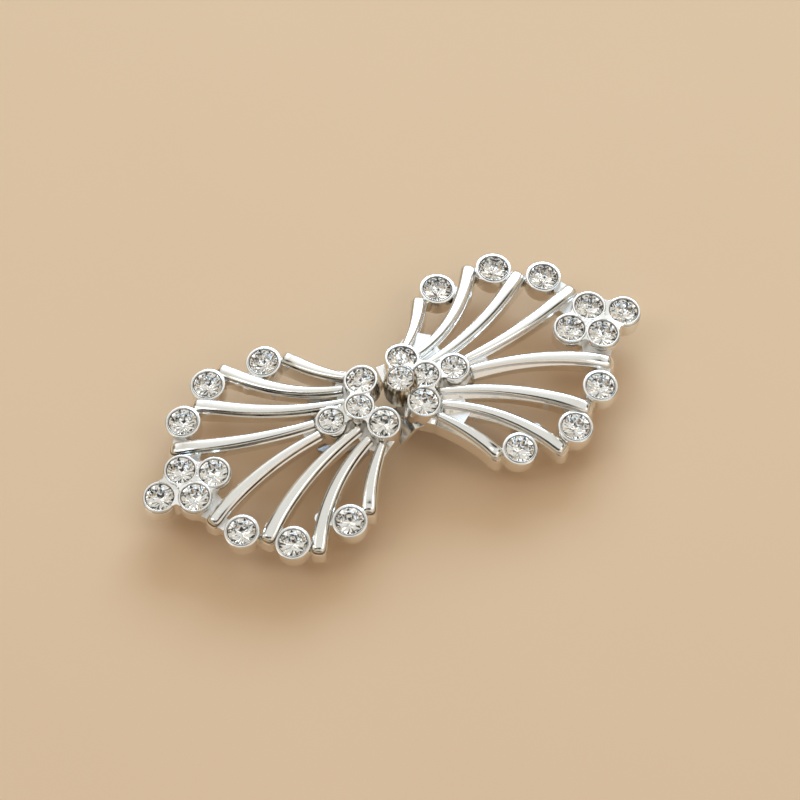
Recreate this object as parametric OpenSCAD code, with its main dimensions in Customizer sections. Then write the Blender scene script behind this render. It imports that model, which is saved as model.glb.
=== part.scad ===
// Two-piece cardigan clip: two cast fans set with round stones, hooked together in the middle,
// with a folded spring grip riveted under each fan. The clip lies face up on a surface at z = 0,
// its long axis along X. Each fan is drawn in its own wing frame, x outward from the middle.

/* [Size] */
// Height of the hub's settings over the surface
hub_top = 8.9; // [8.6:0.1:10]
// Distance of each fan's axis from the clip's long axis
axis_offset = 0.35; // [0:0.05:0.6]
// Sideways lean of the right fan's outline, as x per y
right_lean = 0.012; // [0:0.002:0.04]
// Sideways lean of the left fan's outline, as x per y
left_lean = 0.038; // [0:0.002:0.04]

/* [Stones] */
// Diameter of the large stones on rim, tip and hub sides
large_stone_d = 3.2; // [2.8:0.1:3.3]
// Diameter of the small stones along the middle of the hub
small_stone_d = 2.8; // [2.4:0.1:2.9]
// Width of the metal round a stone
bezel_w = 0.45; // [0.35:0.05:0.5]
// Width of the metal round the raised stone at its rim
raised_rim_w = 0.25; // [0.2:0.05:0.35]
// Width of the metal round the raised stone at its foot
raised_foot_w = 0.7; // [0.5:0.05:0.75]
// Gap between a stone and its seat
seat_gap = 0.05; // [0.03:0.01:0.08]
// Depth of a seat below its setting's top
seat_depth = 1.7; // [1.6:0.1:1.9]

/* [Ribs] */
// Width of the rounded ridge where a rib starts
ridge_w = 1; // [0.9:0.05:1.1]
// Width of a rib's base where it starts, with a ledge on each side of the ridge
rib_base_w = 1.4; // [1.3:0.05:1.6]
// How much wider ridge and base are at a rib's rounded outer end
rib_growth = 0.55; // [0.4:0.05:0.55]
// Height from underside to ledges of the ribs at a fan's sides
side_wall_h = 2.4; // [2:0.1:2.6]
// Height from underside to ledges of the other ribs where they start
rib_wall_h = 1.1; // [1:0.1:1.5]
// How much that height grows toward their outer ends
rib_wall_growth = 0.9; // [0.6:0.1:1]
// Height of the ridge above the ledges
ridge_h = 0.5; // [0.4:0.05:0.55]
// Drop of the ridge below the hub's top where a rib starts
rib_start_drop = 1.3; // [1.1:0.1:1.6]

/* [Webs] */
// Drop of the flat webs between the ribs below the hub's top
web_drop = 2.3; // [2.1:0.1:2.5]
// Thickness of those webs
web_t = 1.6; // [1.2:0.1:1.8]
// Drop of the skirts that join the hub's side settings to the first ribs
skirt_drop = 2.1; // [2:0.1:2.3]
// Thickness of those skirts
skirt_t = 2.2; // [1.8:0.1:2.3]
// Drop of the low bridges between settings and ribs
bridge_drop = 3.9; // [3.8:0.1:4.2]
// Thickness of those bridges
bridge_t = 1.4; // [1:0.1:1.6]
// Width of those bridges
bridge_w = 1.5; // [1.2:0.1:1.8]

/* [Closure] */
// Inner face to inner face of the right fan's two lugs
lug_gap = 5; // [4.6:0.1:5.2]
// Outer face to outer face of the two lugs
lug_span = 9; // [8.6:0.1:9.2]
// Drop of the lugs' top below the hub's top
lug_drop = 2.5; // [2.4:0.1:2.6]
// Thickness of the lugs, the hook and the spring grips
sheet_t = 0.45; // [0.4:0.05:0.5]
// Depth of the lugs' bent ends
lug_depth = 2.5; // [2.2:0.1:2.6]
// How far the bent ends lean away from the right fan
lug_lean = 0.8; // [0.6:0.1:0.9]
// Width of the left fan's hook arm
hook_arm_w = 1.7; // [1.4:0.1:1.8]
// Length of the crossbar at the hook's end
hook_bar_l = 7; // [6.6:0.2:7.2]

/* [Grips] */
// Width of a spring grip
grip_w = 4; // [3.8:0.2:4.4]
// Height of a grip over the surface
grip_h = 4.35; // [4.2:0.05:4.35]
// Distance of a grip's fold from the middle
grip_start = 1.6; // [1.6:0.1:1.8]
// Distance of a grip's mouth from the middle
grip_end = 9.8; // [9.6:0.1:10.2]
// Length of the flat sole from the fold's centre
grip_sole = 3.6; // [3:0.1:3.8]
// Opening left at the mouth between the two leaves
grip_mouth = 0.35; // [0.2:0.05:0.5]
// Radius of the cast rivets' shafts
rivet_r = 0.6; // [0.5:0.05:0.65]
// Radius of the rivets' heads and shoulders
rivet_head_r = 1; // [0.9:0.05:1.05]

/* [Hidden] */
round_fn = 22;
grip_fn = 48;
rib_steps = 10;
end_steps = 3;
large_r = large_stone_d / 2;
small_r = small_stone_d / 2;
right = 1;
left = -1;

// Stone's cut as shares of its radius: table's radius and rise, girdle's drop and thickness, culet's drop
table_share = 0.56;
table_rise = 0.2;
girdle_drop = 0.08;
girdle_share = 0.08;
culet_share = 0.98;

// Ridge's section: half width as a share of the ridge's width, and drop as a share of its height
shoulder_share = 0.46;
shoulder_dip = 0.26;
flat_share = 0.22;
flat_dip = 0.05;

// Rounded end: how far short of a half circle it stops, and its crest's dip as a share of the ridge's height
end_short = 0.35;
end_dip = 0.5;

// Rivets: how far the shoulder reaches into the web, and the heights of shaft and head
shoulder_sink = 0.3;
shaft_h = 1.2;
head_h = 0.4;

// Each rib's ridge in the wing frame: start, middle and end as x, y and fall below the start
RIBS = [
    [[3.8, 4.85, 0], [6.25, 7.55, 0.9], [8.2, 10.65, 1.8]],
    [[4.85, 3.55, 0], [10.75, 7.1, 1.35], [15.3, 12.6, 2.5]],
    [[5.3, 1.9, 0], [12.95, 4.7, 0.9], [19.9, 9.3, 1.8]],
    [[9.7, 0.75, 0], [17.3, 2.2, 0.5], [24.55, 5, 1.6]],
];

// Settings: x, y, drop of the top below the hub's top, stone's radius, wall height, outward tilt
RIM = [
    [10.9, 11.4, 3.5, large_r, 2.3, 7],
    [17.9, 11.3, 3.6, large_r, 2.3, 7],
    [22.6, 7.8, 3.2, large_r, 2.3, 7],
    [22.6, -7.8, 3.2, large_r, 2.3, 7],
    [17.9, -11.3, 3.6, large_r, 2.3, 7],
    [10.9, -11.4, 3.5, large_r, 2.3, 7],
];
TIP = [
    [22.4, 0, 2.4, large_r, 2.4, 5],
    [25.6, 1.9, 2.7, large_r, 2.4, 6],
    [25.6, -1.9, 2.7, large_r, 2.4, 6],
    [29.1, 0, 3.3, large_r, 2.4, 7],
];
HUB = [
    [2.7, 3.07, 0.1, large_r, 2.9, 8],
    [4.3, 0, 0, small_r, 2.9, 0],
    [2.7, -3.07, 0.1, large_r, 2.9, 8],
    [7.8, 0, 0.8, small_r, 2.9, 4],
];
RAISED = [1.2, 0.17, -1.1, small_r, 3.1, -4];

// Half outlines of the webs round the hub, in the wing frame, from the axis outward
RIGHT_WEB = [
    [1.6, 0], [1.9, 4.3], [3.8, 4.8], [6, 6.5], [7.4, 5.5], [7.3, 4.9], [7.6, 2.8],
    [8.7, 1.8], [9.9, 0.9], [12, 1.1], [12, 0],
];
LEFT_WEB = [
    [2.6, 0], [1.9, 4.3], [3.8, 4.8], [4.4, 5.3], [5.4, 4.4], [5.6, 4], [5.7, 2.7],
    [6.5, 2.3], [7.4, 1.5], [9.6, 0.9], [11.2, 1], [11.2, 0],
];

// Corners of the skirts between the hub's side settings and the first ribs
SKIRT = [[1.5, 4.3], [3, 5.4], [4.2, 6.2], [4.8, 5.2], [3.5, 3.5]];

// Corners of the low webs that join the tip's settings to the ribs on each side
TIP_WEB = [[23.2, 1.2], [22.8, 3.6], [24.7, 4.6], [26, 3.2]];

// Ends of the low bridges from the rim's settings to the ribs next to them
BRIDGES = [
    [[10.9, 11.4], [13.6, 9.6]],
    [[17.9, 11.3], [19.2, 8.4]],
    [[22.6, 7.8], [24.5, 4.9]],
];

// Rivets' places along a grip, from the middle
RIVET_X = [4.6, 8.2];

// How far each grip's middle lies off its fan's axis
grip_shift = [0.4, -1.2];

function lean(side) = side == right ? right_lean : left_lean;
function leant(p, side) = [p[0] - lean(side) * p[1], p[1]];
function mirrored(p, sign) = [p[0], sign * p[1], p[2]];
function rib_point(p, side) = let (q = leant(p, side)) [q[0], q[1], hub_top - rib_start_drop - p[2]];
function settings(side) = concat(RIM, TIP, HUB, side == right ? [RAISED] : []);
function shift(side) = side == right ? grip_shift[0] : grip_shift[1];

// The wing frame of one fan, set in the clip's frame
module wing(side) {
    rotate([0, 0, side == right ? 0 : 180]) translate([0, axis_offset, 0]) children();
}

// A point at a setting's top, z along the stone's axis and tipped away from the hub
module at_setting(s, side) {
    p = leant([s[0], s[1]], side);
    translate([p[0], p[1], hub_top - s[2]])
        rotate([0, s[5], atan2(s[1], s[0])]) children();
}

// Round setting wall, solid below its seat; the raised one flares toward its foot
module setting(s, side) {
    rim_w = s == RAISED ? raised_rim_w : bezel_w;
    foot_w = s == RAISED ? raised_foot_w : bezel_w;
    at_setting(s, side) translate([0, 0, -s[4]])
        cylinder(h = s[4], r1 = s[3] + foot_w, r2 = s[3] + rim_w, $fn = round_fn);
}

module seat(s, side) {
    at_setting(s, side) translate([0, 0, -seat_depth])
        cylinder(h = seat_depth + 1, r = s[3] + seat_gap, $fn = round_fn);
}

// Cut stone: flat table, crown of 24 facets, girdle band and pavilion, girdle just below the setting's top
module stone(s, side) {
    sides = 8;
    r = s[3];
    n = 2 * sides;
    table = [for (k = [0:sides - 1]) let (a = 360 / sides * k)
        [table_share * r * cos(a), table_share * r * sin(a), table_rise * r]];
    crown = [for (k = [0:n - 1]) let (a = 360 / n * k) [r * cos(a), r * sin(a), -girdle_drop * r]];
    girdle = [for (p = crown) [p[0], p[1], p[2] - girdle_share * r]];
    culet = [[0, 0, -culet_share * r]];
    faces = concat(
        [[for (k = [sides - 1:-1:0]) k]],
        [for (k = [0:sides - 1]) [k, sides + 2 * k + 1, sides + 2 * k]],
        [for (k = [0:sides - 1]) [k, (k + 1) % sides, sides + 2 * k + 1]],
        [for (k = [0:sides - 1]) [(k + 1) % sides, sides + (2 * k + 2) % n, sides + 2 * k + 1]],
        [for (k = [0:n - 1]) [sides + k, sides + (k + 1) % n, sides + n + k]],
        [for (k = [0:n - 1]) [sides + (k + 1) % n, sides + n + (k + 1) % n, sides + n + k]],
        [for (k = [0:n - 1]) [sides + n + k, sides + n + (k + 1) % n, sides + 2 * n]]
    );
    color("gainsboro") wing(side) at_setting(s, side)
        polyhedron(points = concat(table, crown, girdle, culet), faces = faces);
}

// Rib section across the path: base with two ledges and a rounded ridge, as [sideways, up] pairs
function rib_section(base_w, top_w, crest, wall_h) = let (foot = -ridge_h, low = -ridge_h - wall_h) [
    [-base_w / 2, low], [base_w / 2, low], [base_w / 2, foot], [top_w / 2, foot],
    [shoulder_share * top_w, crest - shoulder_dip * ridge_h],
    [flat_share * top_w, crest - flat_dip * ridge_h], [-flat_share * top_w, crest - flat_dip * ridge_h],
    [-shoulder_share * top_w, crest - shoulder_dip * ridge_h],
    [-top_w / 2, foot], [-base_w / 2, foot],
];

// Point and direction of a curve that starts at a, passes m half way and ends at b
function bend(a, m, b) = 2 * m - (a + b) / 2;
function along(a, m, b, t) = (1 - t) * (1 - t) * a + 2 * t * (1 - t) * bend(a, m, b) + t * t * b;
function slope(a, m, b, t) = (1 - t) * (bend(a, m, b) - a) + t * (b - bend(a, m, b));
function heading(a, m, b, t) = let (d = slope(a, m, b, t), plan = [d[0], d[1], 0]) plan / norm(plan);

// One rib: the section carried from hub to rim, widening and falling, with a round end
module rib(points, at_side, side) {
    function wall_h(t) = at_side ? side_wall_h : rib_wall_h + rib_wall_growth * pow(t, 3);
    a = rib_point(points[0], side);
    m = rib_point(points[1], side);
    b = rib_point(points[2], side);
    tip_r = (rib_base_w + rib_growth) / 2;
    end_heading = heading(a, m, b, 1);
    rings = concat(
        [for (i = [0:rib_steps]) let (t = i / rib_steps)
            [along(a, m, b, t), heading(a, m, b, t), 1, rib_growth * t, wall_h(t)]],
        [for (i = [1:end_steps]) let (turn = 90 * i / (end_steps + end_short))
            [b + tip_r * sin(turn) * end_heading, end_heading, cos(turn), rib_growth, wall_h(1)]]
    );
    count = len(rib_section(1, 1, 0, 1));
    vertices = [for (ring = rings)
        let (place = ring[0], across = [-ring[1][1], ring[1][0]], crest = (ring[2] - 1) * end_dip * ridge_h)
        let (base_w = (rib_base_w + ring[3]) * ring[2], top_w = (ridge_w + ring[3]) * ring[2])
        for (q = rib_section(base_w, top_w, crest, ring[4]))
            [place[0] - q[0] * across[0], place[1] - q[0] * across[1], place[2] + q[1]]];
    last = len(rings) - 1;
    faces = concat(
        [[for (k = [count - 1:-1:0]) k]],
        [for (i = [0:last - 1]) for (k = [0:count - 1])
            [i * count + k, i * count + (k + 1) % count, (i + 1) * count + k]],
        [for (i = [0:last - 1]) for (k = [0:count - 1])
            [i * count + (k + 1) % count, (i + 1) * count + (k + 1) % count, (i + 1) * count + k]],
        [[for (k = [0:count - 1]) last * count + k]]
    );
    polyhedron(points = vertices, faces = faces);
}

// Flat plate over a half outline, on one side of the wing's axis
module plate(outline, drop, thickness, sign, side) {
    translate([0, 0, hub_top - drop - thickness]) linear_extrude(thickness)
        polygon([for (p = outline) leant(mirrored(p, sign), side)]);
}

// Low bridge with round ends from a setting to the rib next to it
module bridge(ends, sign, side) {
    hull() for (end = ends) {
        p = leant(mirrored(end, sign), side);
        translate([p[0], p[1], hub_top - bridge_drop - bridge_t])
            cylinder(h = bridge_t, d = bridge_w, $fn = 8);
    }
}

// Cast rivet: shoulder over the grip's top leaf, shaft through it and head below it
module rivet(x, side) {
    web_bottom = hub_top - web_drop - web_t;
    leaf_bottom = grip_h - sheet_t;
    translate([x, shift(side), 0]) {
        translate([0, 0, grip_h + seat_gap])
            cylinder(h = web_bottom + shoulder_sink - grip_h, r = rivet_head_r, $fn = round_fn);
        translate([0, 0, leaf_bottom - seat_gap - head_h / 2])
            cylinder(h = shaft_h, r = rivet_r, $fn = round_fn);
        translate([0, 0, leaf_bottom - seat_gap - head_h])
            cylinder(h = head_h, r = rivet_head_r, $fn = round_fn);
    }
}

// Right fan's two lugs: flat tabs under the hub, bent down at their ends
module lugs() {
    top = hub_top - lug_drop;
    edge = -0.1;
    root = 3;
    low = top - lug_depth;
    lug_w = (lug_span - lug_gap) / 2;
    for (sign = [1, -1]) translate([0, sign * (lug_gap + lug_w) / 2 + lug_w / 2, 0])
        rotate([90, 0, 0]) linear_extrude(lug_w)
        polygon([
            [edge, top], [root, top], [root, top - sheet_t], [edge + sheet_t, top - sheet_t],
            [edge - lug_lean + sheet_t, low], [edge - lug_lean, low],
        ]);
}

// Left fan's hook: an arm between the lugs and a crossbar behind their bent ends
module hook() {
    z = 4.75;
    h = 0.6;
    bar_x = 0.25;
    bar_w = 0.6;
    bar_y = -0.05;
    arm_y = -2.2;
    root = -4;
    translate([root, arm_y, z]) cube([bar_x + bar_w / 2 - root, hook_arm_w, h]);
    translate([bar_x, bar_y - hook_bar_l / 2, z]) cube([bar_w, hook_bar_l, h]);
}

module fan(side) {
    web = side == right ? RIGHT_WEB : LEFT_WEB;
    wing(side) difference() {
        union() {
            for (sign = [1, -1]) {
                for (points = RIBS) rib([for (p = points) mirrored(p, sign)], points == RIBS[0], side);
                for (ends = BRIDGES) bridge(ends, sign, side);
                plate(web, web_drop, web_t, sign, side);
                plate(SKIRT, skirt_drop, skirt_t, sign, side);
                bridge(TIP_WEB, sign, side);
            }
            for (s = settings(side)) setting(s, side);
            for (x = RIVET_X) rivet(x, side);
        }
        for (s = settings(side)) seat(s, side);
    }
}

module left_fan() {
    color("silver") union() {
        fan(left);
        hook();
    }
}

module right_fan() {
    color("silver") union() {
        fan(right);
        lugs();
    }
}

// Spring grip: one strip folded at the middle, flat sole on the surface, jaw rising to the top leaf
module grip(side) {
    fold_r = grip_h / 2;
    fold_x = grip_start + fold_r;
    sole_x = fold_x + grip_sole;
    jaw_top = grip_h - sheet_t - grip_mouth;
    knee = 0.1;
    color("lightgray") wing(side) translate([0, shift(side) + grip_w / 2, 0]) difference() {
        rotate([90, 0, 0]) linear_extrude(grip_w) union() {
            difference() {
                translate([fold_x, fold_r]) circle(r = fold_r, $fn = grip_fn);
                translate([fold_x, fold_r]) circle(r = fold_r - sheet_t, $fn = grip_fn);
                translate([fold_x, -1]) square([fold_r + 1, grip_h + 2]);
            }
            translate([fold_x, grip_h - sheet_t]) square([grip_end - fold_x, sheet_t]);
            polygon([
                [fold_x, 0], [sole_x, 0], [grip_end, jaw_top - sheet_t], [grip_end, jaw_top],
                [sole_x - knee, sheet_t], [fold_x, sheet_t],
            ]);
        }
        for (x = RIVET_X) translate([x, -grip_w / 2, grip_h - 2 * sheet_t])
            cylinder(h = 3 * sheet_t, r = rivet_r + seat_gap, $fn = grip_fn);
    }
}

left_fan();
right_fan();
grip(left);  // left_grip
grip(right);  // right_grip
for (i = [1:6]) {
    stone(RIM[i - 1], left);
    stone(RIM[i - 1], right);
}
for (i = [1:4]) {
    stone(TIP[i - 1], left);
    stone(TIP[i - 1], right);
    stone(HUB[i - 1], left);
    stone(HUB[i - 1], right);
}
stone(RAISED, right);  // right_hub_stone_5
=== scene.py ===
"""Cardigan clip: two cast, silver-plated fans set with foiled glass stones, hooked together in the middle.

Lengths are in millimetres, and each fan is drawn in a wing frame with x outward from the middle.
in_clip() turns a wing into its place in the clip's frame, and a mesh is made in metres.
"""

import functools
import math
from collections import namedtuple

import bmesh
import bpy
import numpy as np
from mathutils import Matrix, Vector


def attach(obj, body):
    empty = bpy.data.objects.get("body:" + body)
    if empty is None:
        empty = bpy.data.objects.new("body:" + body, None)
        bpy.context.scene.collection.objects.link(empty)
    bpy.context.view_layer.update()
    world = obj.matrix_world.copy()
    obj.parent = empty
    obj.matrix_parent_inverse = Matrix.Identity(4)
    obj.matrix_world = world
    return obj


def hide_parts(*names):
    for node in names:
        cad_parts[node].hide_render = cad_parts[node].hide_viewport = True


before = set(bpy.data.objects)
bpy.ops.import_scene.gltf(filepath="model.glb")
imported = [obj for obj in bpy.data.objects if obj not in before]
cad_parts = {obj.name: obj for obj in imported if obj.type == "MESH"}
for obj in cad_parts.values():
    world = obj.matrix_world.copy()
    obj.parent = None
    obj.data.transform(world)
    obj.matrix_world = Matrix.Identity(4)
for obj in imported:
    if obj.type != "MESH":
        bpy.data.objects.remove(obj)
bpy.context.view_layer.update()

MM = 0.001
SIDES = ("left", "right")
HUB_TOP = 8.9
AXIS_OFFSET = 0.35
LEAN = {"right": 0.012, "left": 0.038}

# Radii of the two sizes of stone, and wall thicknesses: with a lip on a ring, and with a rim over a step
LARGE_R = 1.6
SMALL_R = 1.4
RING_WALL = 0.45
STEP_WALL = 0.42

# Settings: plan place, drop of the top below the hub's top, stone's radius, height of the wall, outward tilt
# in degrees, thickness of the wall
Setting = namedtuple("Setting", "x y drop radius height tilt wall")
RIM = [
    Setting(10.9, 11.4, 3.5, LARGE_R, 2.3, 7, RING_WALL),
    Setting(17.9, 11.3, 3.6, LARGE_R, 2.3, 7, RING_WALL),
    Setting(22.6, 7.8, 3.2, LARGE_R, 2.3, 7, RING_WALL),
    Setting(22.6, -7.8, 3.2, LARGE_R, 2.3, 7, RING_WALL),
    Setting(17.9, -11.3, 3.6, LARGE_R, 2.3, 7, RING_WALL),
    Setting(10.9, -11.4, 3.5, LARGE_R, 2.3, 7, RING_WALL),
]
TIP = [
    Setting(22.4, 0, 2.4, LARGE_R, 2.4, 5, STEP_WALL),
    Setting(25.6, 1.9, 2.7, LARGE_R, 2.4, 6, STEP_WALL),
    Setting(25.6, -1.9, 2.7, LARGE_R, 2.4, 6, STEP_WALL),
    Setting(29.1, 0, 3.3, LARGE_R, 2.4, 7, STEP_WALL),
]
HUB = [
    Setting(2.7, 3.07, 0.1, LARGE_R, 2.9, 8, 0.36),
    Setting(4.3, 0, 0, SMALL_R, 2.9, 0, 0.37),
    Setting(2.7, -3.07, 0.1, LARGE_R, 2.9, 8, 0.36),
    Setting(7.8, 0, 0.8, SMALL_R, 2.9, 4, RING_WALL),
]
RAISED = Setting(1.2, 0.17, -1.1, SMALL_R, 3.1, -4, 0.22)
NECK_DROP = 0.03
NECK_FILLET = 0.5

# Section of a setting: chamfer of the underside, rolled rim, step or ring below it, and the lip, whose widths
# are from the stone's edge to the middle of its roll and to its foot
CHAMFER = 0.1
RIM_ROLL = 0.08
STEP_W = 0.09
STEP_DROP = 0.42
STEP_ROLL = 0.05
RING_DROP = 0.13
LIP_W = 0.15
LIP_FOOT_W = 0.2
LIP_ROLL = 0.03

# Section of the raised setting: least thickness of the wall, its bulge, and the roll of the rim
DRUM_WALL = 0.13
BULGE_W = 0.56
BULGE_H = 2
DRUM_ROLL = 0.09

# Ribs of the upper half: x, y and fall below the start at the ridge's start, middle and end
RIBS = [
    ((3.8, 4.85, 0), (6.25, 7.55, 0.9), (8.2, 10.65, 1.8)),
    ((4.85, 3.55, 0), (10.75, 7.1, 1.35), (15.3, 12.6, 2.5)),
    ((5.3, 1.9, 0), (12.95, 4.7, 0.9), (19.9, 9.3, 1.8)),
    ((9.7, 0.75, 0), (17.3, 2.2, 0.5), (24.55, 5, 1.6)),
]
RIB_START_DROP = 1.3
RIB_STATIONS = 26
SIDE_WALL_H = 2.4
RIB_WALL_H = 1.1
RIB_WALL_GROWTH = 0.9
DRAFT = 0.1

# A rib's ridge and the ledges beside it: half widths, and what they gain toward the rim or the hub
RIDGE_W = 0.5
RIDGE_GAIN = 0.34
RIDGE_H = 0.5
FLANK_W = 0.08
DOME_H = 0.2
SLIM_LEDGE_W = 0.05
LEDGE_W = 0.12
LEDGE_GAIN = 0.1
FRONT_LEDGE_GAIN = 0.4
LEDGE_SLOPE = 0.6
LEDGE_ROLL = 0.07

# A rib's round ends: steps round an end, power of the superellipse, reach at the hub and fall at the rim, for
# all points but the first ones, of the underside
END_STEPS = 10
END_POWER = 0.7
HUB_REACH = 0.4
NOSE_FALL = 0.45
UNDERSIDE_POINTS = 3

# Half outlines of the flat webs round the hub, from the axis outward
WEB = {
    "right": [(1.6, 0), (1.9, 4.3), (3.8, 4.8), (6, 6.5), (7.4, 5.5), (7.3, 4.9), (7.6, 2.8),
              (8.7, 1.8), (9.9, 0.9), (12, 1.1), (12, 0)],
    "left": [(2.6, 0), (1.9, 4.3), (3.8, 4.8), (4.4, 5.3), (5.4, 4.4), (5.6, 4), (5.7, 2.7),
             (6.5, 2.3), (7.4, 1.5), (9.6, 0.9), (11.2, 1), (11.2, 0)],
}
WEB_DROP = 2.3
WEB_T = 1.6
SKIRT = [(1.5, 4.3), (3, 5.4), (4.2, 6.2), (4.8, 5.2), (3.5, 3.5)]
SKIRT_DROP = 2.1
SKIRT_T = 2.2

# Low metal at the rim: web under the tip's settings, and bridges from the rim's settings to the ribs
TIP_WEB = [(23.2, 0.6), (22.5, 3.9), (24.9, 5), (26.4, 3.2)]
BRIDGES = [((10.9, 11.4), (13.6, 9.6)), ((17.9, 11.3), (19.2, 8.4)), ((22.6, 7.8), (24.5, 4.9))]
BRIDGE_R = 0.75
BRIDGE_DROP = 3.9
BRIDGE_T = 1.4

# Grips and the cast rivets that hold them
GRIP_H = 4.35
SHEET_T = 0.45
SEAT_GAP = 0.05
GRIP_SHIFT = {"right": 0.4, "left": -1.2}
RIVET_X = (4.6, 8.2)
RIVET_R = 0.6
RIVET_HEAD_R = 1
RIVET_SINK = 0.3

# Closure in the clip's frame: corners of the hook's arm and crossbar, and each lug's y and (x, z) outline
HOOK = [((-4, -2.2, 4.75), (0.55, -0.5, 5.35)), ((0.25, -3.55, 4.75), (0.85, 3.45, 5.35))]
LUGS = [
    (3.6, [(-0.1, 6.4), (3, 6.4), (3, 5.95), (0.35, 5.95), (-0.45, 3.9), (-0.9, 3.9)]),
    (-3.4, [(0.9, 6.3), (3, 6.4), (3, 5.95), (1.1, 5.8), (-0.45, 3.9), (-0.9, 3.9)]),
]
LUG_W = 2

# Stone for a radius of 1: distance out and height of the table's corners, the star facets' points, the
# girdle's top and bottom, the shoulders of the kites below, and the point
TABLE = (0.54, 0.21)
STAR = (0.78, 0.09)
GIRDLE_TOP = (1, -0.08)
GIRDLE_BOTTOM = (1, -0.13)
SHOULDER = (0.5, -0.6)
POINT = (0, -0.95)

# Slots of the fans' finishes and painted shade, and the strips of each section that get another one than the
# polish: a rib's flank, a seat's cone, wall and lip, the raised setting's wall, and the corner by a setting's
# lip or step
# The crease slot is painted shade and dark reflection; the raised setting's wall is painted brown as the
# shaded card.
POLISHED, SATIN, PAINTED_CREASE_SHADE, PAINTED_WALL_SHADE = range(4)
RIB_FINISH_AND_SHADE = {"right": {7: SATIN}, "left": {7: PAINTED_CREASE_SHADE}}
SEAT_SHADE_AND_FINISH = {0: PAINTED_CREASE_SHADE, 1: PAINTED_CREASE_SHADE, 2: PAINTED_CREASE_SHADE, 3: SATIN}
DRUM_PAINTED_SHADE = dict.fromkeys(range(2, 15), PAINTED_WALL_SHADE)
SETTING_PAINTED_SHADE = {RING_WALL: {6: PAINTED_CREASE_SHADE}, STEP_WALL: {5: PAINTED_CREASE_SHADE}}

# A fan's faces count as level within this, and an edge is sharp from this many degrees
LEVEL_TOLERANCE = 0.002
SHARP_ANGLE = 34

# Card and softbox, in metres and watts
CARD_HALF = 0.8
SOFTBOX_SIZE = (0.5, 0.26)
SOFTBOX_PLACE = (0.297, 0.475, 0.335)
SOFTBOX_POWER = 2.73
SOFTBOX_COLOUR = (0.475, 0.735, 1)

# Linear colours of the room low down and overhead
ROOM_LOW = (0.36, 0.24, 0.13, 1)
ROOM_HIGH = (0.63, 0.58, 0.47, 1)

# Patches on the room's walls: azimuth from +x, elevation, half angle, width of the soft edge, level, tint
PATCHES = [
    (66, 72, 36, 14, 0.79, "FFFFFA"),
    (66, 34, 22, 15, 1.35, "FFFFFF"),
    (280, 38, 22, 12, 0.84, "FFF3E4"),
    (165, 52, 11, 3, 2, "FFFFFF"),
    (320, 54, 10, 3, 2, "FFFFFF"),
    (246, 62, 14, 2, 0.02, "FFFFFF"),
    (200, 46, 14, 2, 0.02, "FFFFFF"),
    (352, 44, 13, 2, 0.02, "FFFFFF"),
    (125, 30, 11, 2, 0.05, "FFFFFF"),
    (246, 2, 22, 10, 0.08, "FFFFFF"),
]

# Camera: lens and sensor, degrees round from the clip's front and above the card, the point of the card
# that it looks at, and the width of the picture there
LENS = 500
SENSOR = 36
CAMERA_AZIMUTH = -23.7
CAMERA_ELEVATION = 62
AIM = (2.13, 2.77, 0)
PICTURE_W = 91.8


def groups(side):
    """Settings of one fan by group; only the right fan's hub has the raised one."""
    return {"rim": RIM, "tip": TIP, "hub": HUB + ([RAISED] if side == "right" else [])}


def settings(side):
    """All settings of one fan, group after group."""
    return [setting for group in groups(side).values() for setting in group]


def leant(points, side):
    """Slides plan points sideways by the fan's lean: x loses lean times y."""
    points = np.array(points, float)
    points[..., 0] -= LEAN[side] * points[..., 1]
    return points


def flipped(points, sign):
    """Plan points of the upper half, or with a sign of -1 of the lower half."""
    return [(x, sign * y) for x, y in points]


def in_clip(points, side):
    """Wing frame to clip frame: moved off the long axis, and the left fan turned half a circle about z."""
    moved = points + (0, AXIS_OFFSET, 0)
    return moved if side == "right" else moved * (-1, -1, 1)


def at_setting(points, setting, side):
    """Stands points on a setting's top: tilted about y, turned to face outward, then moved to its place."""
    lean_x, lean_y = leant((setting.x, setting.y), side)
    a, b = math.radians(setting.tilt), math.atan2(setting.y, setting.x)
    tipped = np.array([[math.cos(a), 0, math.sin(a)], [0, 1, 0], [-math.sin(a), 0, math.cos(a)]])
    turned = np.array([[math.cos(b), -math.sin(b), 0], [math.sin(b), math.cos(b), 0], [0, 0, 1]])
    return points @ (turned @ tipped).T + (lean_x, lean_y, HUB_TOP - setting.drop)


def arc(centre, radius, start, end, steps):
    """Points on an arc: centre + radius * (cos, sin), from the start angle to the end angle in degrees."""
    angle = np.radians(np.linspace(start, end, steps))
    return np.array(centre) + radius * np.stack([np.cos(angle), np.sin(angle)], -1)


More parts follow.
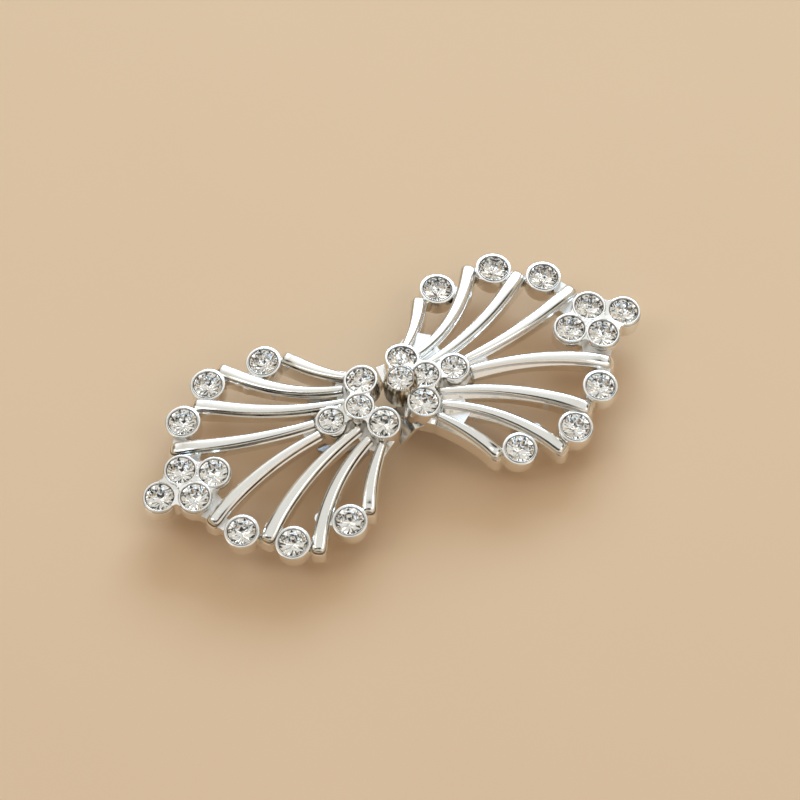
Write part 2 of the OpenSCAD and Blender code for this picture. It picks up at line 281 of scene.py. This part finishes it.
def closed_solid(name, rings, capped=False, finish_and_shade_strips=None):
    """Closed shell through a grid of rings: quads between neighbours, ends capped or met in a line or pole.

    Its last argument gives strips of quads, by number, the slot of another finish or of painted shade.
    Doubles are merged, and the shell is turned outward where its signed volume comes out negative.
    """
    rows, count = rings.shape[:2]
    index = np.arange(rows * count).reshape(rows, count)
    after = np.roll(index, -1, axis=1)
    faces = np.stack([index[:-1], after[:-1], after[1:], index[1:]], -1).reshape(-1, 4).tolist()
    if capped:
        faces += [index[0, ::-1].tolist(), index[-1].tolist()]
    mesh = bpy.data.meshes.new(name)
    mesh.from_pydata((rings.reshape(-1, 3) * MM).tolist(), [], faces)
    for material in plates():
        mesh.materials.append(material)
    slots = np.full(rows, POLISHED, np.int32)
    for strip, slot in (finish_and_shade_strips or {}).items():
        slots[strip] = slot
    mesh.polygons.foreach_set("material_index", slots[np.arange(len(faces)) // count])
    shell = bmesh.new()
    shell.from_mesh(mesh)
    bmesh.ops.remove_doubles(shell, verts=shell.verts, dist=1e-7)
    if shell.calc_volume(signed=True) < 0:
        bmesh.ops.reverse_faces(shell, faces=shell.faces)
    shell.to_mesh(mesh)
    shell.free()
    solid = bpy.data.objects.new(name, mesh)
    bpy.context.collection.objects.link(solid)
    return solid


def lathe(profile, steps=44):
    """Profile of [radius, height] pairs turned round z: a ring of points for each pair."""
    angle = np.linspace(0, 2 * math.pi, steps, endpoint=False)
    radius, height = np.array(profile, float).T[:, :, None]
    return np.stack([radius * np.cos(angle), radius * np.sin(angle), height + 0 * angle], -1)


def prism(outline, low, high):
    """Plan outline drawn up from one height to another; the heights are numbers or one for each point."""
    outline = np.array(outline, float)
    return np.stack([np.column_stack([outline, np.zeros(len(outline)) + z]) for z in (low, high)])


def slab(outline, drop, thickness):
    """Flat slab of a plan outline, with its top by a drop below the hub's top."""
    return prism(outline, HUB_TOP - drop - thickness, HUB_TOP - drop)


def bar(crest, right, left):
    """Bar with round ends: half sections go up the right side of the crest line, round the end and back.

    A loop's point is crest + sideways * outward. outward is the line's right-hand normal on one side and
    its left-hand normal on the other. Round an end it turns from one to the other on a superellipse: the
    cosine across and the sine along the line, each raised to END_POWER, the sine's part at the hub times
    HUB_REACH. right and left are [station, point, (sideways, up)], from the middle of the underside to the
    crest. Round the rim's end, all above the chamfer falls by NOSE_FALL times the sine's part times the
    square of sideways, sideways taken as 1 mm at most.
    """
    ahead = np.gradient(crest[:, :2], axis=0)
    ahead /= np.linalg.norm(ahead, axis=1, keepdims=True)
    across = np.stack([ahead[:, 1], -ahead[:, 0]], -1)
    turn = np.linspace(0, math.pi, END_STEPS + 2)[1:-1, None]
    swing = np.sign(np.cos(turn)) * np.abs(np.cos(turn)) ** END_POWER
    push = np.sin(turn) ** END_POWER
    outward = np.concatenate([
        across,
        swing * across[-1] + push * ahead[-1],
        -across[::-1],
        -swing * across[0] - HUB_REACH * push * ahead[0],
    ])
    last = len(crest) - 1
    hub_end, rim_end = [0] * END_STEPS, [last] * END_STEPS
    station = np.concatenate([np.arange(last + 1), rim_end, np.arange(last, -1, -1), hub_end])
    angle = np.concatenate([np.zeros(last + 1), turn[:, 0], np.full(last + 1, math.pi), turn[::-1, 0]])
    share = angle / math.pi
    half = right[station] + share[:, None, None] * (left - right)[station]
    sideways, up = half[..., 0].T, half[..., 1].T
    plan = crest[station, :2] + sideways[..., None] * outward
    nose = np.concatenate([0 * crest[:, 0], push[:, 0], 0 * crest[:, 0], 0 * push[:, 0]])
    above = np.arange(len(up))[:, None] >= UNDERSIDE_POINTS
    up = up - NOSE_FALL * above * nose * np.minimum(sideways, 1) ** 2
    return np.concatenate([plan, (crest[station, 2] + up)[..., None]], -1)


def rib_half(ridge, ledge, wall):
    """Half sections of a rib: underside, drafted wall, ledge sloping down, steep flank, and a low dome.

    ridge and ledge are columns of half widths and wall one of heights, a row for each station. The dome is
    z = -DOME_H * (x / edge) ** 3, so the ridge's top is nearly flat in the middle and rolls off to a crisp
    edge.
    """
    low, foot, base = -RIDGE_H - wall, -RIDGE_H, ridge + ledge
    turn, u = np.radians(np.linspace(0, 70, 4)), np.linspace(1, 0, 9)
    lip = foot - LEDGE_ROLL - LEDGE_SLOPE * ledge
    rolled = base + LEDGE_ROLL * (np.cos(turn) - 1)
    out = [0 * ridge, base + DRAFT - CHAMFER, base + DRAFT, rolled, ridge, (ridge - FLANK_W) * u]
    up = [low, low, low + CHAMFER, lip + LEDGE_ROLL * np.sin(turn), foot, -DOME_H * u ** 3]
    up = [z + 0 * ridge for z in up]
    return np.stack([np.concatenate(out, 1), np.concatenate(up, 1)], -1)


def rib(points, sign, side):
    """Rib from hub to rim: its crest is the parabola through start, middle and end, bowed down at the rim.

    Over the last fifth it falls by a fiftieth of the rib's length times the square of the way through that
    fifth. The ledge beside the ridge is wide near the hub on the side toward the front and slim on the
    other. The wall is tall on the ribs at a fan's sides, and on the others it grows with the cube of the
    way to the rim.
    """
    top = HUB_TOP - RIB_START_DROP
    start, middle, end = leant([(x, sign * y, top - fall) for x, y, fall in points], side)
    bend = 2 * middle - (start + end) / 2
    t = np.linspace(0, 1, RIB_STATIONS)[:, None]
    crest = (1 - t) ** 2 * start + 2 * t * (1 - t) * bend + t ** 2 * end
    crest[:, 2:] -= 0.02 * np.linalg.norm(end - start) * np.clip((t - 0.8) / 0.2, 0, 1) ** 2
    ridge = RIDGE_W + RIDGE_GAIN * t ** 0.8
    wall = SIDE_WALL_H + 0 * t if points is RIBS[0] else RIB_WALL_H + RIB_WALL_GROWTH * t ** 3
    gain = FRONT_LEDGE_GAIN if sign < 0 and side == "right" else LEDGE_GAIN
    wide = rib_half(ridge, LEDGE_W + gain * (1 - t) ** 1.5, wall)
    slim = rib_half(ridge, SLIM_LEDGE_W + 0 * t, wall)
    return bar(crest, wide, slim) if side == "right" else bar(crest, slim, wide)


def setting_profile(radius, wall, height):
    """Outline of a setting from the underside's middle, up the wall and over the rim to the top's middle.

    The thickest wall carries a thin lip on a flat ring, the others a rolled rim, some with a step below it.
    """
    outer = radius + wall
    foot = [(0, -height), (outer - CHAMFER, -height), (outer, -height + CHAMFER)]
    top = [(radius + 0.1, 0), (0, 0)]
    if wall == RING_WALL:
        ring = arc((outer - RIM_ROLL, -RING_DROP - RIM_ROLL), RIM_ROLL, 0, 90, 3)
        lip = arc((radius + LIP_W, -LIP_ROLL), LIP_ROLL, 0, 90, 3)
        return np.concatenate([foot, ring, [(radius + LIP_FOOT_W, -RING_DROP)], lip, top])
    inner = outer - (STEP_W if wall == STEP_WALL else 0)
    shoulder = arc((outer - STEP_ROLL, -STEP_DROP - STEP_ROLL), STEP_ROLL, 0, 90, 3)
    rim = arc((inner - RIM_ROLL, -RIM_ROLL), RIM_ROLL, 0, 90, 5)
    return np.concatenate([foot, shoulder, [(inner, -STEP_DROP)], rim, top])


def drum_profile(radius, height):
    """Outline of the raised setting: its wall bulges out below the rim as a quarter of an ellipse."""
    angle = np.radians(np.linspace(0, 84, 12))
    out = radius + DRUM_WALL + BULGE_W * np.cos(angle)
    foot = [(0, -height - 0.3), (radius + 0.6, -height - 0.3), (radius + 0.69, -height - 0.2)]
    bulge = np.stack([out, -0.1 - BULGE_H * (1 - np.sin(angle))], -1)
    rim = arc((radius + 0.1, -DRUM_ROLL), DRUM_ROLL, 0, 90, 4)
    return np.concatenate([foot, bulge, rim, [(0, 0)]])


def seat_profile(radius):
    """Outline of the hole for a stone: a cone under it, a straight wall and a bright-cut lip, open upward."""
    return [(0, -1.68), (0.5 * radius, -1.3), (radius + 0.04, -0.5), (radius + 0.05, -0.12),
            (radius + 0.12, 0.02), (radius + 0.12, 0.6), (0, 0.6)]


def neck(first, second, side):
    """Neck between two settings: both centres joined by two arcs that touch the settings' round walls.

    An arc's centre lies one fillet away from both walls, where circles of the walls' radii plus the fillet
    cross.
    """
    a, b = (leant((s.x, s.y), side) for s in (first, second))
    reach_a, reach_b = (s.radius + s.wall + NECK_FILLET for s in (first, second))
    gap = np.linalg.norm(b - a)
    along = (b - a) / gap
    across = np.array([-along[1], along[0]])
    run = (reach_a ** 2 - reach_b ** 2 + gap ** 2) / (2 * gap)
    rise = math.sqrt(reach_a ** 2 - run ** 2)
    begin = math.degrees(math.atan2(-rise, -run))
    finish = math.degrees(math.atan2(-rise, gap - run))
    hollow = arc((run, rise), NECK_FILLET, begin, finish, 9)
    local = np.concatenate([[(0, 0)], hollow * (1, -1), [(gap, 0)], hollow[::-1]])
    outline = a + local[:, :1] * along + local[:, 1:] * across
    share = np.clip(local[:, 0] / gap, 0, 1)
    top = HUB_TOP - NECK_DROP - first.drop + (first.drop - second.drop) * share
    return prism(outline, top - first.height, top)


def low_bridge(ends, sign, side):
    """Low bridge between two plan points, with an outline of two parallel sides and two half circles."""
    a, b = leant(flipped(ends, sign), side)
    heading = math.degrees(math.atan2(*(b - a)[::-1]))
    back = arc(a, BRIDGE_R, heading + 90, heading + 270, 9)
    front = arc(b, BRIDGE_R, heading - 90, heading + 90, 9)
    return slab(np.concatenate([back, front]), BRIDGE_DROP, BRIDGE_T)


def rivet(x, side):
    """Cast rivet of the grip: shoulder over the top leaf, shaft through it and a domed head below it."""
    leaf = GRIP_H - SHEET_T
    high = HUB_TOP - WEB_DROP - WEB_T + RIVET_SINK
    under, over = leaf - SEAT_GAP, GRIP_H + SEAT_GAP
    profile = [(0, leaf - 0.5), (0.7, leaf - 0.45), (RIVET_HEAD_R, leaf - 0.25), (RIVET_HEAD_R, under),
               (RIVET_R, under), (RIVET_R, over), (RIVET_HEAD_R, over), (RIVET_HEAD_R, high), (0, high)]
    return lathe(profile, 32) + (x, GRIP_SHIFT[side], 0)


def closure_solids(side):
    """Right fan: two lugs bent down at their ends. Left fan: the hook's arm, and its crossbar behind them."""
    if side == "left":
        return [
            prism([(x0, y0), (x1, y0), (x1, y1), (x0, y1)], z0, z1) for (x0, y0, z0), (x1, y1, z1) in HOOK
        ]
    edges = (-LUG_W / 2, LUG_W / 2)
    return [np.array([[(x, y + edge, z) for x, z in outline] for edge in edges]) for y, outline in LUGS]


def joined(name, solids, cutters):
    """One casting: the solids united, and the cutters taken away."""
    body = solids[0]
    steps = [(s, "UNION") for s in solids[1:]] + [(c, "DIFFERENCE") for c in cutters]
    for other, operation in steps:
        cut = body.modifiers.new(operation, "BOOLEAN")
        cut.operation, cut.solver, cut.object, cut.material_mode = operation, "MANIFOLD", other, "INDEX"
    mesh = bpy.data.meshes.new_from_object(body.evaluated_get(bpy.context.evaluated_depsgraph_get()))
    mesh.name = name
    for part in solids + cutters:
        bpy.data.meshes.remove(part.data)
    piece = bpy.data.objects.new(name, mesh)
    bpy.context.collection.objects.link(piece)
    return piece


def casting(side):
    """One fan as cast, with its half of the closure and its rivets, and the stones' seats cut into it."""
    grids = []
    for sign in (1, -1):
        # The left fan's rib flanks get a painted dark line of shade.
        grids += [(rib(points, sign, side), False, RIB_FINISH_AND_SHADE[side]) for points in RIBS]
        grids += [(low_bridge(ends, sign, side), True) for ends in BRIDGES]
        grids.append((slab(leant(flipped(TIP_WEB, sign), side), BRIDGE_DROP, BRIDGE_T), True))
    half = WEB[side]
    grids.append((slab(leant(half + flipped(half[-2:0:-1], -1), side), WEB_DROP, WEB_T), True))
    for sign in (1, -1):
        grids.append((slab(leant(flipped(SKIRT, sign), side), SKIRT_DROP, SKIRT_T), True))
    for s in settings(side):
        # The raised setting's wall takes painted shade, in brown streaks.
        if s is RAISED:
            profile, finish_and_shade_strips = drum_profile(s.radius, s.height), DRUM_PAINTED_SHADE
        else:
            # Ring and step settings get a painted dark line of shade by the lip or step.
            profile, finish_and_shade_strips = setting_profile(s.radius, s.wall, s.height), SETTING_PAINTED_SHADE.get(s.wall)
        grids.append((at_setting(lathe(profile), s, side), False, finish_and_shade_strips))
    pairs = [(HUB[0], HUB[1]), (HUB[1], HUB[2]), (HUB[1], HUB[3])]
    pairs += [(TIP[0], TIP[1]), (TIP[0], TIP[2]), (TIP[1], TIP[2]), (TIP[1], TIP[3]), (TIP[2], TIP[3])]
    pairs += [(RAISED, HUB[1])] if side == "right" else []
    grids += [(neck(first, second, side), True) for first, second in pairs]
    grids += [(rivet(x, side), False) for x in RIVET_X]
    solids = [closed_solid("part", in_clip(grid, side), *how) for grid, *how in grids]
    solids += [closed_solid("part", grid, True) for grid in closure_solids(side)]
    holes = [in_clip(at_setting(lathe(seat_profile(s.radius)), s, side), side) for s in settings(side)]
    # The seats' cone and wall take painted shade, a dark ring round each stone.
    seats = [closed_solid("seat", hole, finish_and_shade_strips=SEAT_SHADE_AND_FINISH) for hole in holes]
    return joined(f"{side}_casting", solids, seats)


def linear(code):
    """sRGB hex colour as linear red, green, blue and alpha."""
    parts = np.array([int(code[i:i + 2], 16) for i in (0, 2, 4)]) / 255
    return (*np.where(parts <= 0.04045, parts / 12.92, ((parts + 0.055) / 1.055) ** 2.4), 1)


def add_node(tree, kind, inputs=None, **properties):
    """Adds a node with its properties, and sets or links its inputs: a value, or another node's output."""
    node = tree.nodes.new(kind)
    for name, value in properties.items():
        setattr(node, name, value)
    for name, value in (inputs or {}).items():
        if isinstance(value, bpy.types.NodeSocket):
            tree.links.new(value, node.inputs[name])
        else:
            node.inputs[name].default_value = value
    return node


def new_material(name):
    """Empty node material, returned with its tree."""
    material = bpy.data.materials.new(name)
    material.use_nodes = True
    material.node_tree.nodes.clear()
    return material, material.node_tree


def per(size):
    """Pattern scale, in features per metre, from a feature's size in millimetres."""
    return 1 / (size * MM)


def silver_plate():
    """Bright silver plate on a zinc casting: a mirror, softened by the casting's waves and polishing haze.

    The waves of the metal under the plate are about 1.1 mm long and 0.01 mm high, and the haze comes in
    patches of 0.4 mm. Edges are rounded by 0.08 mm, as tumbling leaves them.
    """
    material, tree = new_material("silver_plate_on_zinc")
    place = add_node(tree, "ShaderNodeTexCoord").outputs["Object"]
    waves = add_node(tree, "ShaderNodeTexNoise", {"Vector": place, "Scale": per(1.1), "Detail": 2.0})
    haze = add_node(tree, "ShaderNodeTexNoise", {"Vector": place, "Scale": per(0.4), "Detail": 3.0})
    rough = add_node(tree, "ShaderNodeMapRange", {
        "Value": haze.outputs["Fac"], "To Min": 0.1, "To Max": 0.2,
    })
    edge = add_node(tree, "ShaderNodeBevel", {"Radius": 0.08 * MM}, samples=6)
    bump = add_node(tree, "ShaderNodeBump", {
        "Height": waves.outputs["Fac"], "Strength": 0.35, "Distance": 0.04 * MM,
        "Normal": edge.outputs["Normal"],
    })
    shader = add_node(tree, "ShaderNodeBsdfPrincipled", {
        "Base Color": linear("F3F2EF"), "Metallic": 1.0, "Roughness": rough.outputs["Result"],
        "Normal": bump.outputs["Normal"],
    })
    add_node(tree, "ShaderNodeOutputMaterial", {"Surface": shader.outputs["BSDF"]})
    return material


def satin_plate():
    """The same plate on the webs and flanks that no polishing wheel reaches: satin, from the mould's grain.

    The real grain of about 0.05 mm is too fine to show, so it is drawn 0.25 mm wide.
    """
    material, tree = new_material("silver_plate_as_cast")
    place = add_node(tree, "ShaderNodeTexCoord").outputs["Object"]
    grain = add_node(tree, "ShaderNodeTexNoise", {"Vector": place, "Scale": per(0.25), "Detail": 2.0})
    rough = add_node(tree, "ShaderNodeMapRange", {
        "Value": grain.outputs["Fac"], "To Min": 0.38, "To Max": 0.55,
    })
    bump = add_node(tree, "ShaderNodeBump", {
        "Height": grain.outputs["Fac"], "Strength": 0.6, "Distance": 0.03 * MM,
    })
    shader = add_node(tree, "ShaderNodeBsdfPrincipled", {
        "Base Color": linear("E9E6E2"), "Metallic": 1.0, "Roughness": rough.outputs["Result"],
        "Normal": bump.outputs["Normal"],
    })
    add_node(tree, "ShaderNodeOutputMaterial", {"Surface": shader.outputs["BSDF"]})
    return material


def crease_plate_painted_shade():
    """The plate in a crease or seat: too rough to mirror, and painted dark grey as shade and dark reflection.

    The painted shade comes in patches of 3 mm.
    """
    material, tree = new_material("silver_plate_with_painted_crease_shade")
    place = add_node(tree, "ShaderNodeTexCoord").outputs["Object"]
    shade_patches = add_node(tree, "ShaderNodeTexNoise", {"Vector": place, "Scale": per(3), "Detail": 2.0})
    share = add_node(tree, "ShaderNodeMapRange", {
        "Value": shade_patches.outputs["Fac"], "From Min": 0.35, "From Max": 0.65,
    })
    tint = add_node(tree, "ShaderNodeMixRGB", {
        "Fac": share.outputs["Result"], "Color1": linear("3E3A35"), "Color2": linear("B4AFA6"),
    })
    shader = add_node(tree, "ShaderNodeBsdfPrincipled", {
        "Base Color": tint.outputs["Color"], "Metallic": 1.0, "Roughness": 0.45,
    })
    add_node(tree, "ShaderNodeOutputMaterial", {"Surface": shader.outputs["BSDF"]})
    return material


def wall_plate_painted_shade():
    """The plate on the raised setting's wall, in the closure: painted brown in streaks, as the shaded card
    that it mirrors.

    The painted streaks are 0.4 mm wide and 2 mm long, down the wall.
    """
    material, tree = new_material("silver_plate_with_painted_wall_shade")
    place = add_node(tree, "ShaderNodeTexCoord").outputs["Object"]
    down = add_node(tree, "ShaderNodeMapping", {"Vector": place, "Scale": (per(0.4), per(0.4), per(2))})
    streaks = add_node(tree, "ShaderNodeTexNoise", {
        "Vector": down.outputs["Vector"], "Scale": 1.0, "Detail": 3.0,
    })
    share = add_node(tree, "ShaderNodeMapRange", {
        "Value": streaks.outputs["Fac"], "From Min": 0.4, "From Max": 0.58,
    })
    tint = add_node(tree, "ShaderNodeMixRGB", {
        "Fac": share.outputs["Result"], "Color1": linear("6E6450"), "Color2": linear("E6DFD0"),
    })
    shader = add_node(tree, "ShaderNodeBsdfPrincipled", {
        "Base Color": tint.outputs["Color"], "Metallic": 1.0, "Roughness": 0.3,
    })
    add_node(tree, "ShaderNodeOutputMaterial", {"Surface": shader.outputs["BSDF"]})
    return material


@functools.cache
def plates():
    """The fans' finishes, in slot order: polish, satin, the crease's painted shade, and the raised setting's
    wall with painted shade.
    """
    return silver_plate(), satin_plate(), crease_plate_painted_shade(), wall_plate_painted_shade()


def crystal():
    """Cut glass of a foiled stone: clear, with polished flat facets, and bends light as lead-free crystal."""
    material, tree = new_material("cut_glass")
    shader = add_node(tree, "ShaderNodeBsdfPrincipled", {
        "Base Color": linear("FFFFFF"), "Roughness": 0.0, "IOR": 1.56, "Transmission Weight": 1.0,
    })
    add_node(tree, "ShaderNodeOutputMaterial", {"Surface": shader.outputs["BSDF"]})
    return material


def foil():
    """Silvered back of a stone: the mirror that throws the light out again through the facets."""
    material, tree = new_material("foil_back")
    shader = add_node(tree, "ShaderNodeBsdfPrincipled", {
        "Base Color": linear("FBFAF8"), "Metallic": 1.0, "Roughness": 0.03,
    })
    add_node(tree, "ShaderNodeOutputMaterial", {"Surface": shader.outputs["BSDF"]})
    return material


def spring_steel():
    """Rolled spring steel strip: grey metal with lines along the strip from the rolls.

    The real lines of about 0.02 mm are too fine to show, so they are drawn 0.17 mm wide and 7 mm long.
    """
    material, tree = new_material("rolled_spring_steel")
    place = add_node(tree, "ShaderNodeTexCoord").outputs["Object"]
    along = add_node(tree, "ShaderNodeMapping", {"Vector": place, "Scale": (per(7), per(0.17), per(0.17))})
    lines = add_node(tree, "ShaderNodeTexNoise", {
        "Vector": along.outputs["Vector"], "Scale": 1.0, "Detail": 2.0,
    })
    rough = add_node(tree, "ShaderNodeMapRange", {
        "Value": lines.outputs["Fac"], "To Min": 0.22, "To Max": 0.42,
    })
    shader = add_node(tree, "ShaderNodeBsdfPrincipled", {
        "Base Color": linear("C9CACC"), "Metallic": 1.0, "Roughness": rough.outputs["Result"],
    })
    add_node(tree, "ShaderNodeOutputMaterial", {"Surface": shader.outputs["BSDF"]})
    return material


def table_paper():
    """Uncoated beige card under the clip: matt, with a faint cloudiness of the pulp, 40 mm across."""
    material, tree = new_material("beige_card")
    place = add_node(tree, "ShaderNodeTexCoord").outputs["Object"]
    clouds = add_node(tree, "ShaderNodeTexNoise", {"Vector": place, "Scale": per(40), "Detail": 4.0})
    tint = add_node(tree, "ShaderNodeMixRGB", {
        "Fac": clouds.outputs["Fac"], "Color1": linear("E4C4A0"), "Color2": linear("E8C8A4"),
    })
    shader = add_node(tree, "ShaderNodeBsdfPrincipled", {
        "Base Color": tint.outputs["Color"], "Roughness": 0.9,
    })
    add_node(tree, "ShaderNodeOutputMaterial", {"Surface": shader.outputs["BSDF"]})
    return material


def cut_stone(radius, turn):
    """Chaton cut: table, 8 star, 8 kite and 16 girdle facets above, 16 long facets and 8 kites below.

    Rings of 8 or 16 points at angles of 45 or 22.5 degrees: table, star points, girdle's top and bottom, the
    lower kites' shoulders, and the point. Returns points, faces and how many faces lie above the girdle's
    lower edge.
    """
    eighth = np.radians(45 * np.arange(8) + turn)
    mid = eighth + math.radians(22.5)
    sixteenth = np.radians(22.5 * np.arange(16) + turn)
    rings = [(eighth, TABLE), (mid, STAR), (sixteenth, GIRDLE_TOP), (sixteenth, GIRDLE_BOTTOM),
             (mid, SHOULDER), (np.zeros(1), POINT)]
    points = radius * np.concatenate([
        np.stack([out * np.cos(angle), out * np.sin(angle), up + 0 * angle], -1)
        for angle, (out, up) in rings
    ])
    table, star, top, bottom, lower, culet = 0, 8, 16, 32, 48, 56
    k = np.arange(8)
    nxt, back = (k + 1) % 8, (k - 1) % 8
    here, between, beyond = 2 * k, 2 * k + 1, (2 * k + 2) % 16
    upper = [list(range(8))]
    upper += np.stack([table + k, star + k, table + nxt], -1).tolist()
    upper += np.stack([table + k, star + back, top + here, star + k], -1).tolist()
    upper += np.stack([star + k, top + here, top + between], -1).tolist()
    upper += np.stack([star + k, top + between, top + beyond], -1).tolist()
    n = np.arange(16)
    upper += np.stack([top + n, bottom + n, bottom + (n + 1) % 16, top + (n + 1) % 16], -1).tolist()
    under = np.stack([bottom + here, lower + k, bottom + between], -1).tolist()
    under += np.stack([bottom + between, lower + k, bottom + beyond], -1).tolist()
    under += np.stack([culet + 0 * k, lower + k, bottom + here, lower + back], -1).tolist()
    return points, upper + under, len(upper)


def stone(node, setting, side, turn, glass, back):
    """One foiled stone in its seat, standing for its CAD node."""
    points, faces, above = cut_stone(setting.radius, turn)
    place = in_clip(at_setting(points, setting, side), side)
    mesh = bpy.data.meshes.new(f"{node}_cut")
    mesh.from_pydata((place * MM).tolist(), [], faces)
    mesh.materials.append(glass)
    mesh.materials.append(back)
    mesh.polygons.foreach_set("material_index", (np.arange(len(faces)) >= above).astype(np.int32))
    shell = bmesh.new()
    shell.from_mesh(mesh)
    bmesh.ops.recalc_face_normals(shell, faces=shell.faces)
    shell.to_mesh(mesh)
    shell.free()
    piece = bpy.data.objects.new(f"{node}_cut", mesh)
    bpy.context.collection.objects.link(piece)
    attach(piece, "root")
    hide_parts(node)


def mark_webs(mesh):
    """Gives the satin plate to each face that lies flat at the height of the webs or bridges."""
    middle = np.empty(3 * len(mesh.polygons))
    mesh.polygons.foreach_get("center", middle)
    height = middle[2::3] / MM
    flat = [np.abs(height - HUB_TOP + drop) < LEVEL_TOLERANCE for drop in (WEB_DROP, BRIDGE_DROP)]
    index = np.empty(len(mesh.polygons), np.int32)
    mesh.polygons.foreach_get("material_index", index)
    mesh.polygons.foreach_set("material_index", np.where(flat[0] | flat[1], SATIN, index).astype(np.int32))


def build_clip():
    """Both fans with their grips and stones; each stone is turned in its seat by an angle of its own."""
    steel, glass, back = spring_steel(), crystal(), foil()
    draw = np.random.default_rng(7)
    for side in SIDES:
        fan = casting(side)
        mark_webs(fan.data)
        fan.data.polygons.foreach_set("use_smooth", np.ones(len(fan.data.polygons), bool))
        fan.data.set_sharp_from_angle(angle=math.radians(SHARP_ANGLE))
        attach(fan, "root")
        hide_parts(f"{side}_fan")
        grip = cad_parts[f"{side}_grip"]
        grip.data.materials.clear()
        grip.data.materials.append(steel)
        for group, members in groups(side).items():
            for number, setting in enumerate(members, 1):
                stone(f"{side}_{group}_stone_{number}", setting, side, draw.uniform(0, 45), glass, back)


def studio_world():
    """Light of the room: tan and dim low down, pale overhead, with bright screens and dark patches.

    The patches are, in order, the white ceiling, the large screen behind, the pale wall in front, a small
    screen on each side, the camera with its holder, three dark stands and the dark lowest part of the room in
    front. A layer begins and is whole at two values of the cosine between the way looked and its middle.
    """
    world = bpy.data.worlds.new("studio")
    world.use_nodes = True
    tree = world.node_tree
    tree.nodes.clear()
    way = add_node(tree, "ShaderNodeTexCoord").outputs["Generated"]
    layers = [(0, 90, 0.05, 0.6, ROOM_HIGH)]
    for azimuth, elevation, half, soft, level, tint in PATCHES:
        begin, whole = (math.cos(math.radians(half + step * soft)) for step in (1, -1))
        colour = (*(level * part for part in linear(tint)[:3]), 1)
        layers.append((azimuth, elevation, begin, whole, colour))
    light = ROOM_LOW
    for azimuth, elevation, begin, whole, colour in layers:
        a, e = math.radians(azimuth), math.radians(elevation)
        middle = (math.cos(a) * math.cos(e), math.sin(a) * math.cos(e), math.sin(e))
        facing = add_node(tree, "ShaderNodeVectorMath", {0: way, 1: middle}, operation="DOT_PRODUCT")
        share = add_node(tree, "ShaderNodeMapRange", {
            "Value": facing.outputs["Value"], "From Min": begin, "From Max": whole,
        }, interpolation_type="SMOOTHSTEP")
        light = add_node(tree, "ShaderNodeMixRGB", {
            "Fac": share.outputs["Result"], "Color1": light, "Color2": colour,
        }).outputs["Color"]
    sky = add_node(tree, "ShaderNodeBackground", {"Color": light, "Strength": 1.0})
    add_node(tree, "ShaderNodeOutputWorld", {"Surface": sky.outputs["Background"]})
    return world


def build_stage():
    """Card to lie on, a bluish soft light from behind on the right, and the room round them."""
    mesh = bpy.data.meshes.new("card")
    corners = [(x * CARD_HALF, y * CARD_HALF, 0) for x, y in ((-1, -1), (1, -1), (1, 1), (-1, 1))]
    mesh.from_pydata(corners, [], [(0, 1, 2, 3)])
    mesh.materials.append(table_paper())
    card = bpy.data.objects.new("card", mesh)
    bpy.context.collection.objects.link(card)

    softbox = bpy.data.lights.new("softbox", "AREA")
    softbox.shape = "RECTANGLE"
    softbox.size, softbox.size_y = SOFTBOX_SIZE
    softbox.energy = SOFTBOX_POWER
    softbox.color = SOFTBOX_COLOUR
    lamp = bpy.data.objects.new("softbox", softbox)
    lamp.location = SOFTBOX_PLACE
    lamp.rotation_euler = (-Vector(SOFTBOX_PLACE)).to_track_quat("-Z", "Y").to_euler()
    bpy.context.collection.objects.link(lamp)
    bpy.context.scene.world = studio_world()


def build_camera():
    """Long lens from the clip's front left, looking down at the photograph's angle."""
    lens = bpy.data.cameras.new("camera")
    lens.lens, lens.sensor_width = LENS, SENSOR
    camera = bpy.data.objects.new("camera", lens)
    azimuth, elevation = math.radians(CAMERA_AZIMUTH), math.radians(CAMERA_ELEVATION)
    flat = math.cos(elevation)
    away = Vector((math.sin(azimuth) * flat, -math.cos(azimuth) * flat, math.sin(elevation)))
    camera.location = Vector(AIM) * MM + away * (PICTURE_W * MM * LENS / SENSOR)
    camera.rotation_euler = (-away).to_track_quat("-Z", "Y").to_euler()
    bpy.context.collection.objects.link(camera)
    bpy.context.scene.camera = camera


build_clip()
build_stage()
build_camera()
bpy.context.scene.view_settings.view_transform = "Standard"
